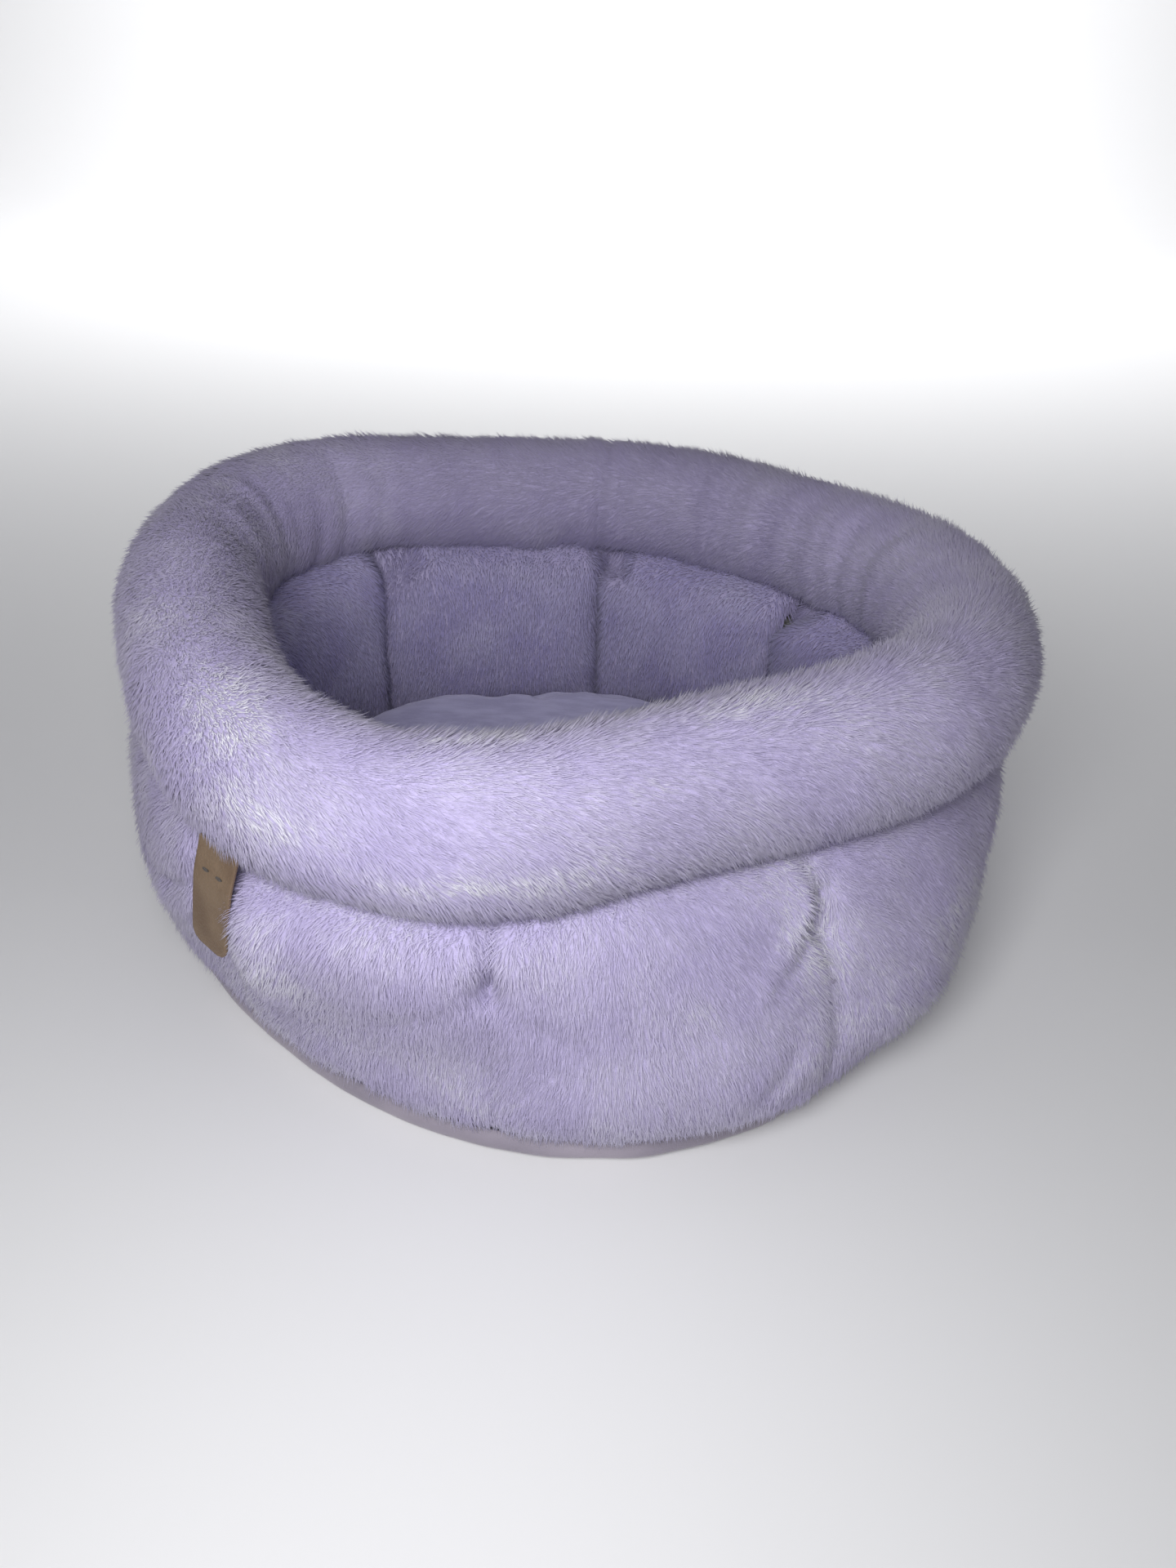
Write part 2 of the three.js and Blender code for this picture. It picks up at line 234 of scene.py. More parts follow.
def throughPoints(points, steps):
    # Catmull-Rom curve in the section's plane
    found = []
    for i in range(len(points) - 1):
        p = [points[max(0, min(len(points) - 1, k))] for k in range(i - 1, i + 3)]
        for s in range(steps):
            t = s / steps
            found.append(tuple(
                0.5 * (2 * p[1][k] + (p[2][k] - p[0][k]) * t
                       + (2 * p[0][k] - 5 * p[1][k] + 4 * p[2][k] - p[3][k]) * t * t
                       + (3 * p[1][k] - p[0][k] - 3 * p[2][k] + p[3][k]) * t ** 3) for k in (0, 1)))
    return found + [points[-1]]


outerTop, innerTop = rimPoint(-bed["rimSeam"]), rimPoint(180 + bed["rimSeam"])
outerSkin = throughPoints([
    (bed["baseRadius"] + 0.001, bed["hem"]), (0.22496, 0.0372), (bed["wallRadius"], bed["wallFull"]),
    (bed["wallRadius"] - 0.0015, mix(bed["wallFull"], outerTop[1], 0.6)), outerTop], 8)
innerSkin = throughPoints([
    (bed["footRadius"], 0.0016), (bed["innerRadius"] + 0.0005, bed["wallFull"] / 2),
    (bed["innerRadius"], bed["wallFull"]),
    (bed["innerRadius"] + 0.0015, mix(bed["wallFull"], innerTop[1], 0.6)), innerTop], 8)


def across(line, height):
    if height <= line[0][1]:
        return line[0][0]
    for (x0, y0), (x1, y1) in zip(line, line[1:]):
        if height <= y1:
            return mix(x0, x1, (height - y0) / (y1 - y0))
    return line[-1][0]


def onPlan(angle, radius, height):  # a point at this angle and radius from the bed's middle
    return Vector((bed["middle"][0] + radius * math.cos(angle), bed["middle"][1] + radius * math.sin(angle), height))


def sew(even, radius, height, neck=bed["neck"]):  # a point of the plain round bed, where the sewn bed has it
    angle = sewnAngle(even)
    rimShift = bed["rimRadius"] * (pulled(bed["rimPull"], angle) - 1)
    wallShift = bed["wallRadius"] * (pulled(bed["wallPull"], angle) - 1)
    baseShift = bed["baseRadius"] * (pulled(bed["basePull"], angle) - 1)
    rise = clamp((height - bed["hem"]) / (outerTop[1] - bed["hem"]))
    dip = seamPull(even) * math.sin(math.pi * rise)
    inner, outer = across(innerSkin, height), across(outerSkin, height)
    innerNow = inner + rimShift + bed["innerDip"] * dip
    outerNow = outer + mix(baseShift, wallShift, ease(height, 0, bed["wallFull"] * 0.8)) - bed["outerDip"] * dip
    share = (radius - inner) / (outer - inner)
    wallNow = radius * innerNow / inner if share < 0 else mix(innerNow, outerNow, share)
    swell = pulled(bed["rimSwell"], angle)
    rimNow = bed["rimRadius"] + rimShift + swell * (radius - bed["rimRadius"])
    rimHeightNow = bed["rimHeight"] * pulled(bed["rimSway"], angle) + swell * (height - bed["rimHeight"])
    rimShare = ease(height, neck, bed["rimHeight"] - bed["rimThick"])
    radiusNow = mix(wallNow, rimNow, rimShare)
    return onPlan(angle, radiusNow, mix(height, rimHeightNow, rimShare))


class Sum:
    # one socket, so that shader maths reads as maths
    def __init__(self, tree, socket):
        self.tree, self.socket = tree, socket

    def maths(self, operation, *items):
        node = self.tree.nodes.new("ShaderNodeMath")
        node.operation = operation
        for slot, item in enumerate(items):
            if isinstance(item, Sum):
                self.tree.links.new(item.socket, node.inputs[slot])
            else:
                node.inputs[slot].default_value = item
        return Sum(self.tree, node.outputs[0])

    def __add__(self, other):
        return self.maths("ADD", self, other)

    def __radd__(self, other):
        return self.maths("ADD", other, self)

    def __sub__(self, other):
        return self.maths("SUBTRACT", self, other)

    def __rsub__(self, other):
        return self.maths("SUBTRACT", other, self)

    def __mul__(self, other):
        return self.maths("MULTIPLY", self, other)

    def __rmul__(self, other):
        return self.maths("MULTIPLY", other, self)

    def __truediv__(self, other):
        return self.maths("DIVIDE", self, other)

    def __pow__(self, other):
        return self.maths("POWER", self, other)


class Nodes:
    def __init__(self, tree):
        self.tree = tree

    def add(self, kind, settings, sockets, output=0):
        node = self.tree.nodes.new(kind)
        for name, value in settings.items():
            setattr(node, name, value)
        for name, value in sockets.items():
            slot = node.inputs[name]
            if isinstance(value, Sum):
                self.tree.links.new(value.socket, slot)
            else:
                slot.default_value = value
        return Sum(self.tree, node.outputs[output])


class Finish(Nodes):
    def __init__(self, name, **constants):
        self.material = bpy.data.materials.new(name)
        self.material.use_nodes = True
        super().__init__(self.material.node_tree)
        self.tree.nodes.clear()
        self.shader = self.tree.nodes.new("ShaderNodeBsdfPrincipled")
        out = self.tree.nodes.new("ShaderNodeOutputMaterial")
        self.tree.links.new(self.shader.outputs[0], out.inputs["Surface"])
        for socket, value in constants.items():
            self.shader.inputs[socket.replace("_", " ")].default_value = value
        self.spot = self.add("ShaderNodeTexCoord", {}, {}, "Object")

    def feed(self, socket, value):
        self.tree.links.new(value.socket, self.shader.inputs[socket])

    def noise(self, scale, detail=2.0, spot=None, **more):
        return self.add("ShaderNodeTexNoise", {}, {
            "Vector": spot or self.spot, "Scale": scale, "Detail": detail, **more}, "Fac")

    def steps(self, value, low, high):
        return self.add("ShaderNodeMapRange", {"interpolation_type": "SMOOTHSTEP"}, {
            "Value": value, "From Min": low, "From Max": high}, "Result")

    def blend(self, share, first, second):
        node = self.tree.nodes.new("ShaderNodeMix")
        node.data_type = "RGBA"
        for slot, item in ((0, share), (6, first), (7, second)):
            if isinstance(item, Sum):
                self.tree.links.new(item.socket, node.inputs[slot])
            else:
                node.inputs[slot].default_value = item if slot == 0 else (*item, 1)
        return Sum(self.tree, node.outputs[2])

    def stretch(self, scale, turn=(0, 0, 0)):
        return self.add("ShaderNodeMapping", {}, {"Vector": self.spot, "Scale": scale, "Rotation": turn})

    def attribute(self, name, output="Fac"):
        return self.add("ShaderNodeAttribute", {"attribute_name": name}, {}, output)

    def relief(self, height, distance, strength=1.0):
        self.feed("Normal", self.add("ShaderNodeBump", {}, {
            "Height": height, "Distance": distance, "Strength": strength}, "Normal"))


def makePiece(name, mesh, body, finish, slot):
    piece = bpy.data.objects.new(name, mesh)
    scene.collection.objects.link(piece)
    piece.data.materials.clear()
    piece.data.materials.append(finish)
    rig.ride(piece, body)
    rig.slot(piece, slot)
    return piece


def meshFrom(work, name):
    # faces are written in a fixed order and from a fixed corner, because the pile is scattered by their order
    work.verts.index_update()
    faces = []
    for face in work.faces:
        ring = [vert.index for vert in face.verts]
        first = ring.index(min(ring))
        faces.append(ring[first:] + ring[:first])
    mesh = bpy.data.meshes.new(name)
    mesh.from_pydata([vert.co[:] for vert in work.verts], [], sorted(faces))
    work.free()
    mesh.shade_smooth()
    return mesh


def settle(piece):  # the modifiers' result becomes the mesh
    mesh = bpy.data.meshes.new_from_object(piece.evaluated_get(bpy.context.evaluated_depsgraph_get()))
    piece.modifiers.clear()
    piece.data = mesh


def spun(profile, angle, steps):
    # a line in the XZ plane, spun round Z
    work = bmesh.new()
    dots = [work.verts.new((x, 0, z)) for x, z in profile]
    for a, b in zip(dots, dots[1:]):
        work.edges.new((a, b))
    full = abs(angle) > 6.28
    bmesh.ops.spin(work, geom=work.verts[:] + work.edges[:], cent=(0, 0, 0), axis=(0, 0, 1), angle=angle,
                   steps=steps, use_merge=full)
    bmesh.ops.remove_doubles(work, verts=work.verts[:], dist=1e-6)
    return work


def outward(work):
    bmesh.ops.recalc_face_normals(work, faces=work.faces[:])


def plainSpot(co):  # even angle, radius, height of a point of the plain round bed
    return math.atan2(co.y, co.x), math.hypot(co.x, co.y), co.z


def soft(spot, scale, seed=0):  # smooth noise from -1 to 1
    return noise.noise(Vector(spot) * scale + Vector((seed * 7.3, seed * 3.1, seed * 5.7)))


# the pile is made of short tapered fibres, laid along the nap
spikeWork = bmesh.new()
bmesh.ops.create_cone(spikeWork, cap_ends=True, segments=3, radius1=1, radius2=0, depth=1,
                      matrix=Matrix.Translation((0, 0, 0.5)))
bmesh.ops.recalc_face_normals(spikeWork, faces=spikeWork.faces[:])
spikeMesh = meshFrom(spikeWork, "fibre")
tips = spikeMesh.attributes.new("tip", "FLOAT", "POINT")
for dot, vert in zip(tips.data, spikeMesh.vertices):
    dot.value = 1.0 if vert.co.z > 0.5 else 0.0
fibre = bpy.data.objects.new("fibre", spikeMesh)


def pileGroup(name, look):
    # points scattered on the backing, a fibre on each, turned to the nap and made real
    group = bpy.data.node_groups.new(name, "GeometryNodeTree")
    group.interface.new_socket("Backing", in_out="INPUT", socket_type="NodeSocketGeometry")
    group.interface.new_socket("Pile", in_out="OUTPUT", socket_type="NodeSocketGeometry")
    nodes = Nodes(group)
    backing = nodes.add("NodeGroupInput", {}, {})
    density = nodes.add("GeometryNodeInputNamedAttribute", {"data_type": "FLOAT"}, {"Name": "cover"})
    scatter = group.nodes.new("GeometryNodeDistributePointsOnFaces")
    scatter.distribute_method = "RANDOM"
    scatter.inputs["Seed"].default_value = look["seed"]
    group.links.new(backing.socket, scatter.inputs["Mesh"])
    group.links.new((density * look["density"]).socket, scatter.inputs["Density"])
    spot = nodes.add("GeometryNodeInputPosition", {}, {})
    nap = nodes.add("GeometryNodeInputNamedAttribute", {"data_type": "FLOAT_VECTOR"}, {"Name": "nap"})

    def vectors(operation, first, second):
        return nodes.add("ShaderNodeVectorMath", {"operation": operation}, {0: first, 1: second})

    def scaled(vector, by):
        return nodes.add("ShaderNodeVectorMath", {"operation": "SCALE"}, {0: vector, "Scale": by})

    def swirl(scale, amount, shift):
        wave = nodes.add("ShaderNodeTexNoise", {}, {
            "Vector": vectors("ADD", spot, shift), "Scale": scale, "Detail": 1.0}, "Color")
        return scaled(vectors("SUBTRACT", wave, (0.5, 0.5, 0.5)), amount)

    def chance(low, high, seed):
        return nodes.add("FunctionNodeRandomValue", {"data_type": "FLOAT"}, {2: low, 3: high, "Seed": seed}, 1)

    normal = Sum(group, scatter.outputs["Normal"])
    way = vectors("ADD", scaled(normal, look["lift"]), nap)
    for scale, amount, shift in look["swirls"]:
        way = vectors("ADD", way, swirl(scale, amount, shift))
    scatterTo = nodes.add("FunctionNodeRandomValue", {"data_type": "FLOAT_VECTOR"}, {
        0: (-look["stray"],) * 3, 1: (look["stray"],) * 3, "Seed": 5})
    way = vectors("ADD", way, scatterTo)
    turned = nodes.add("FunctionNodeAlignRotationToVector", {"axis": "Z"}, {"Vector": way})
    rolled = nodes.add("FunctionNodeRotateRotation", {"rotation_space": "LOCAL"}, {
        "Rotation": turned, "Rotate By": nodes.add("FunctionNodeAxisAngleToRotation", {}, {
            "Axis": (0, 0, 1), "Angle": chance(0, 6.28, 3)})})
    length = chance(look["length"] * 0.65, look["length"] * 1.2, 1)
    size = nodes.add("ShaderNodeCombineXYZ", {}, {0: look["thick"], 1: look["thick"], 2: length})
    toned = nodes.add("GeometryNodeStoreNamedAttribute", {"data_type": "FLOAT", "domain": "POINT"}, {
        "Geometry": Sum(group, scatter.outputs["Points"]), "Name": "tone", "Value": chance(0, 1, 2)})
    toned = nodes.add("GeometryNodeStoreNamedAttribute", {"data_type": "FLOAT_VECTOR", "domain": "POINT"}, {
        "Geometry": toned, "Name": "up", "Value": normal})
    shape = nodes.add("GeometryNodeObjectInfo", {}, {"Object": fibre}, "Geometry")
    placed = nodes.add("GeometryNodeInstanceOnPoints", {}, {
        "Points": toned, "Instance": shape, "Rotation": rolled, "Scale": size})
    real = nodes.add("GeometryNodeRealizeInstances", {}, {"Geometry": placed})
    out = group.nodes.new("NodeGroupOutput")
    group.links.new(real.socket, out.inputs[0])
    return group


def growPile(name, backing, look, body, finish, slot):
    pile = makePiece(name, backing, body, finish, slot)
    pile.modifiers.new("pile", "NODES").node_group = pileGroup(name, look)
    settle(pile)
    mesh = pile.data
    mesh.materials.clear()
    mesh.materials.append(finish)
    mesh.shade_smooth()
    # each fibre is lit mostly as the cloth that it grows from, so the pile looks soft
    up, own = np.zeros(len(mesh.vertices) * 3, np.float32), np.zeros(len(mesh.vertices) * 3, np.float32)
    mesh.attributes["up"].data.foreach_get("vector", up)
    mesh.vertex_normals.foreach_get("vector", own)
    lit = (up + own * look["shine"]).reshape(-1, 3)
    lit /= np.linalg.norm(lit, axis=1)[:, None]
    mesh.normals_split_custom_set_from_vertices(lit)
    mesh.attributes.remove(mesh.attributes["up"])
    corners = np.zeros(len(mesh.loops), np.int32)
    mesh.loops.foreach_get("vertex_index", corners)
    perFibre = len(spikeMesh.loops)
    fibres = len(corners) // perFibre
    side = math.ceil(math.sqrt(fibres))
    index = np.arange(fibres).repeat(perFibre)
    local = np.array([[0.5, 0.95] if spikeMesh.vertices[loop.vertex_index].co.z > 0.5
                      else [0.1 + 0.4 * (loop.vertex_index % 3), 0.05] for loop in spikeMesh.loops])
    spots = (np.stack([index % side, index // side], 1) + np.tile(local, (fibres, 1))) / side
    mesh.uv_layers.new(name="OFBake").data.foreach_set("uv", spots.astype(np.float32).ravel())
    print(name, fibres, "fibres")
    return pile


def setNap(mesh, napAt, coverAt, paintedLightAt):
    # which way the pile lies, how thick it grows, and its painted light: painted sheen where above 0, painted shade
    # where below 0
    for name, kind in (("nap", "FLOAT_VECTOR"), ("cover", "FLOAT"), ("paintedLight", "FLOAT")):
        mesh.attributes.new(name, kind, "POINT")
    given = mesh.attributes
    for vert, lie, much, paintedLight in zip(mesh.vertices, given["nap"].data, given["cover"].data, given["paintedLight"].data):
        flat = Vector(napAt(vert))
        lie.vector = flat - vert.normal * flat.dot(vert.normal)
        much.value = coverAt(vert)
        paintedLight.value = paintedLightAt(vert)


def polar(co):  # a point's angle round the bed in degrees
    return math.degrees(math.atan2(co.y - bed["middle"][1], co.x - bed["middle"][0])) % 360


# the root colour is painted shade deep in the pile, the whitish colour is painted sheen, and the shade colour is
# painted shade
plushLook = {
    "root": (0.42, 0.38, 0.56), "tip": (0.62, 0.575, 0.79), "deep": (0.53, 0.47, 0.75),
    "paintedLight": (0.86, 0.86, 0.92), "grey": (0.56, 0.54, 0.60), "shade": (0.32, 0.28, 0.48),
    "patch": 24.0, "streak": 210.0,
}


def plushFinish(name, look):
    finish = Finish(name, Roughness=0.85, Sheen_Weight=0.25, Sheen_Roughness=0.5, Sheen_Tint=(0.95, 0.93, 1, 1))
    tip, tone, paintedLight = (finish.attribute(part) for part in ("tip", "tone", "paintedLight"))
    patches = finish.noise(look["patch"], 3.0, Roughness=0.55)
    streaks = finish.noise(look["streak"], 2.0)
    colour = finish.blend(finish.steps(patches, 0.36, 0.62), look["deep"], look["tip"])
    # painted shade: where the painted light is below 0 (seams, hollows, the back of the rim) the colour goes towards
    # the shade colour
    colour = finish.blend(finish.steps(0 - paintedLight, 0, 1) * 0.6, colour, look["shade"])
    # painted sheen: whitish streaks and patches where the painted light is high
    paintedSheen = finish.steps(paintedLight + (streaks - 0.5) * 1.1 + (patches - 0.5) * 0.9, 0.25, 0.95)
    colour = finish.blend(paintedSheen, colour, look["paintedLight"])
    colour = finish.blend(tone * 0.22, colour, look["grey"])
    # painted shade in the pile: each fibre darkens towards its root
    colour = finish.blend(finish.steps(tip, 0.0, 0.7), look["root"], colour)
    finish.feed("Base Color", colour)
    finish.feed("Roughness", 0.72 + 0.2 * tone)
    return finish.material


def backingFinish(name, look):
    # the knitted backing that shows only where the pile parts
    finish = Finish(name, Roughness=0.95)
    rows = finish.noise(900, 1.0, finish.stretch((1, 1, 3)))
    patches = finish.noise(look["patch"], 3.0, Roughness=0.55)
    colour = finish.blend(rows, look["root"], look["deep"])
    finish.feed("Base Color", finish.blend(patches * 0.4, colour, look["tip"]))
    finish.relief(rows, 0.0004)
    return finish.material


plush = plushFinish("lilacPlush", plushLook)
innerPlush = plushFinish("lilacPlushInside", plushLook | {
    "patch": 30.0, "tip": (0.62, 0.58, 0.90), "deep": (0.51, 0.46, 0.82), "root": (0.26, 0.23, 0.38)})
backing = backingFinish("plushBacking", plushLook)


rim = {
    "around": 360, "section": 56, "sink": 0.0034, "slit": 9, "cloth": 0.0008, "piles": 5, "join": 83,
    "pile": {"seed": 11, "density": 690000, "length": 0.0074, "thick": 0.00031, "lift": 0.42, "stray": 0.26,
             "shine": 0.8,
             "swirls": [(22, 0.8, (0, 0, 0)), (90, 0.7, (3, 1, 2)), (380, 0.45, (7, 5, 1))]},
    # painted sheen on the rim: each spot's angle round the bed, angle round the section, width, height and strength
    "paintedLight": [(237, 62, 9, 26, 0.9), (246, 20, 10, 18, 0.75), (262, 100, 12, 16, 0.6), (225, 75, 9, 22, 0.5),
             (281, 45, 7, 20, 0.5), (296, 85, 12, 18, 0.55), (318, 60, 8, 22, 0.3), (205, 60, 14, 30, 0.35),
             (262, -5, 14, 14, 0.75), (160, 110, 20, 30, 0.3), (20, 110, 30, 25, 0.3), (345, 30, 15, 25, 0.35)],
}


def rimRelief(even, turn, spot):
    # how far the rim's cloth stands in or out: soft lumps, gathers towards its inner side and the join
    degrees = math.degrees(sewnAngle(even)) % 360
    out = 0.0022 * soft(spot, 11, 1) + 0.0012 * soft(spot, 26, 2)
    inward = ease(abs(turnGap(turn, 180)), 100, 40)
    gather = soft((degrees * 0.16, turn * 0.004, 0), 1.0, 4) + 0.6 * soft((degrees * 0.37, turn * 0.006, 2), 1.0, 5)
    back = ease(abs(turnGap(degrees, 80)), 110, 60)
    out += 0.0026 * gather * inward * (0.35 + 0.65 * back)
    join = abs(turnGap(degrees, rim["join"])) * math.pi / 180 * 0.192
    out -= 0.0024 * math.exp(-(join / 0.004) ** 2) * (0.4 + 0.6 * inward)
    out += 0.0006 * math.exp(-((join - 0.011) / 0.006) ** 2)
    return out


def rimSkin(outwards, around, section):
    turns = [mix(rim["slit"] - 90, 270 - rim["slit"], i / section) for i in range(section + 1)]
    work = spun([rimPoint(t, 0) for t in turns], 2 * math.pi, around)
    for vert in work.verts:
        even, radius, height = plainSpot(vert.co)
        turn = math.degrees(math.atan2((height - bed["rimHeight"]) / bed["rimThick"],
                                       (radius - bed["rimRadius"]) / bed["rimWidth"])) % 360
        stand = outwards + rimRelief(even, turn, sew(even, radius, height))
        vert.co = sew(even, *rimPoint(turn, stand))
    outward(work)
    return work


rimBacking = meshFrom(rimSkin(-rim["sink"], rim["around"], rim["section"]), "rimBacking")
rimCloth = makePiece("rim_cloth", rimBacking, "bed", backing, "plush")
thick = rimCloth.modifiers.new("cloth", "SOLIDIFY")
thick.thickness, thick.offset = rim["cloth"], -1
settle(rimCloth)
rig.replaces(rimCloth, "rim_cover")
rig.padded(rimCloth, fill=0.9)


def rimNap(vert):
    dx, dy = vert.co.x - bed["middle"][0], vert.co.y - bed["middle"][1]
    angle = math.atan2(dy, dx)
    degrees = math.degrees(angle) % 360
    around = Vector((-math.sin(angle), math.cos(angle), 0))
    outwards = Vector((math.cos(angle), math.sin(angle), 0))
    right = bump(turnGap(degrees, 320), 0, 55)
    side = soft(vert.co, 9, 7)
    downward = 0.25 + 0.55 * ease(vert.co.z, 0.185, 0.145) + 0.5 * right
    way = around * (1.0 - 0.3 * right + 0.25 * side) + (outwards * 0.35 + Vector((0, 0, -1))) * downward
    return way.normalized() * 0.95


def rimTurn(co):  # where a point is round the rim's section, in degrees: 0 outside, 90 on top, 180 inside
    angle = math.radians(polar(co))
    centre = bed["rimRadius"] * pulled(bed["rimPull"], angle)
    radius = math.hypot(co.x - bed["middle"][0], co.y - bed["middle"][1])
    return math.degrees(math.atan2(co.z - bed["rimHeight"] * pulled(bed["rimSway"], angle), radius - centre)) % 360


def rimCover(vert):
    return 0.12 if 235 < rimTurn(vert.co) < 290 else 1.0


def rimSheenAndShade(vert):
    degrees, turn = polar(vert.co), rimTurn(vert.co)
    # noise, painted shade over the back rim's top and inner side, and spots of painted sheen
    found = 0.35 * soft(vert.co, 14, 9) - 1.1 * bump(turnGap(degrees, 80), 0, 80) * bump(turnGap(turn, 140), 0, 130)
    for centre, height, wide, tall, much in rim["paintedLight"]:
        found += much * math.exp(-(turnGap(degrees, centre) / wide) ** 2 - (turnGap(turn, height) / tall) ** 2)
    return found


for index in range(rim["piles"]):
    work = bmesh.new()
    work.from_mesh(rimBacking)
    start = index / rim["piles"] * 2 * math.pi

    def sector(face):
        spot = face.calc_center_median()
        angle = math.atan2(spot.y - bed["middle"][1], spot.x - bed["middle"][0]) % (2 * math.pi)
        return int(angle / (2 * math.pi) * rim["piles"]) % rim["piles"] == index

    bmesh.ops.delete(work, geom=[face for face in work.faces if not sector(face)], context="FACES")
    part = meshFrom(work, "rimPile")
    setNap(part, rimNap, rimCover, rimSheenAndShade)
    look = rim["pile"] | {"seed": rim["pile"]["seed"] + index}
    growPile(f"rim_pile_{index + 1}", part, look, "bed", plush, "plush")
print("rim made")


wall = {
    "across": 60, "up": 9, "sink": 0.0034, "cloth": 0.0008, "tackHeight": 0.112, "hem": 0.016, "tuck": 62,
    "neck": 0.045,
    "outerPile": {"seed": 40, "density": 690000, "length": 0.0074, "thick": 0.00031, "lift": 0.40, "stray": 0.28,
                  "shine": 0.8,
                  "swirls": [(18, 0.7, (1, 4, 2)), (90, 0.6, (3, 1, 2)), (380, 0.75, (7, 5, 1))]},
    "innerPile": {"seed": 70, "density": 460000, "length": 0.0088, "thick": 0.00038, "lift": 0.45, "stray": 0.16,
                  "shine": 1.0,
                  "swirls": [(22, 0.6, (5, 1, 2)), (90, 0.7, (3, 1, 2)), (380, 0.7, (7, 5, 1))]},
    # each fold: its line of angles and heights, how deep and wide it is, how proud the cloth to its left stands
    "folds": [
        {"line": [(297, 0.097), (301, 0.108), (304.5, 0.121), (306.7, 0.130), (308, 0.150)],
         "deep": 0.0030, "wide": 0.007, "proud": 0.003},
        {"line": [(265.5, 0.112), (258, 0.093), (249, 0.070)], "deep": 0.0016, "wide": 0.012, "proud": -0.001},
        {"line": [(265.5, 0.112), (269, 0.096), (275, 0.082)], "deep": 0.0016, "wide": 0.010, "proud": 0.001},
        {"line": [(299, 0.070), (297.5, 0.060), (294, 0.045)], "deep": 0.0022, "wide": 0.008, "proud": 0.001},
        {"line": [(350, 0.112), (342, 0.094), (334, 0.085)], "deep": 0.004, "wide": 0.009, "proud": 0.003},
        {"line": [(228, 0.112), (219, 0.092), (208, 0.080)], "deep": 0.004, "wide": 0.009, "proud": 0.003},
        {"line": [(180, 0.112), (188, 0.094), (196, 0.084)], "deep": 0.004, "wide": 0.009, "proud": -0.003},
        {"line": [(132, 0.112), (123, 0.092), (112, 0.078)], "deep": 0.004, "wide": 0.009, "proud": 0.003},
        {"line": [(83, 0.112), (91, 0.096), (100, 0.080)], "deep": 0.004, "wide": 0.009, "proud": -0.003},
        {"line": [(38, 0.112), (29, 0.092), (18, 0.080)], "deep": 0.004, "wide": 0.009, "proud": 0.003},
    ],
    # each swelling: its angle and height, how wide and tall, how far it stands out
    "puffs": [(241.5, 0.096, 3.6, 0.045, 0.011), (233, 0.10, 5, 0.04, -0.006), (284, 0.116, 12, 0.024, 0.003),
              (276, 0.045, 14, 0.024, 0.004), (222, 0.040, 6, 0.020, -0.003), (318, 0.070, 12, 0.03, 0.004),
              (300, 0.030, 10, 0.014, 0.003), (332, 0.130, 16, 0.022, -0.008)],
    # painted sheen on the outer wall: each spot's angle and height, how wide and tall, how strong
    "paintedLight": [(302, 0.112, 5, 0.018, 0.45), (290, 0.098, 10, 0.012, 0.35), (330, 0.05, 22, 0.04, 0.25),
             (243, 0.10, 5, 0.05, 0.4), (262, 0.045, 16, 0.022, 0.25)],
}


def toFold(degrees, height, line):
    # distance to a fold's line, which side it is on and how far along
    best = (1, 1, 0)
    for i, (start, end) in enumerate(zip(line, line[1:])):
        run = Vector((math.radians(turnGap(end[0], start[0])) * 0.235, end[1] - start[1]))
        spot = Vector((math.radians(turnGap(degrees, start[0])) * 0.235, height - start[1]))
        share = clamp(spot.dot(run) / run.dot(run))
        gap = (spot - run * share).length
        if gap < best[0]:
            side = 1 if run.x * spot.y - run.y * spot.x > 0 else -1
            best = (gap, side, (i + share) / (len(line) - 1))
    return best


def notch(degrees, along, height):
    # inside, the next pillow's top corner is drawn in beside each seam: 1 in the hollow, 0 outside it
    beside = (1 - along) * math.pi / 4 * 0.18
    square = bump(turnGap(degrees, 78), 0, 12)
    low = mix(0.113, 0.121, square)
    wide = mix(0.027 * clamp((height - low) / 0.020), 0.024, square)
    right = ease(wide - beside, -0.002, 0.003) * ease(height, low - 0.001, low + 0.003)
    wide = 0.009 * clamp((height - 0.124) / 0.014)
    left = 0.5 * ease(wide - along * math.pi / 4 * 0.18, -0.002, 0.003) * ease(height, 0.122, 0.128)
    return max(right, left)


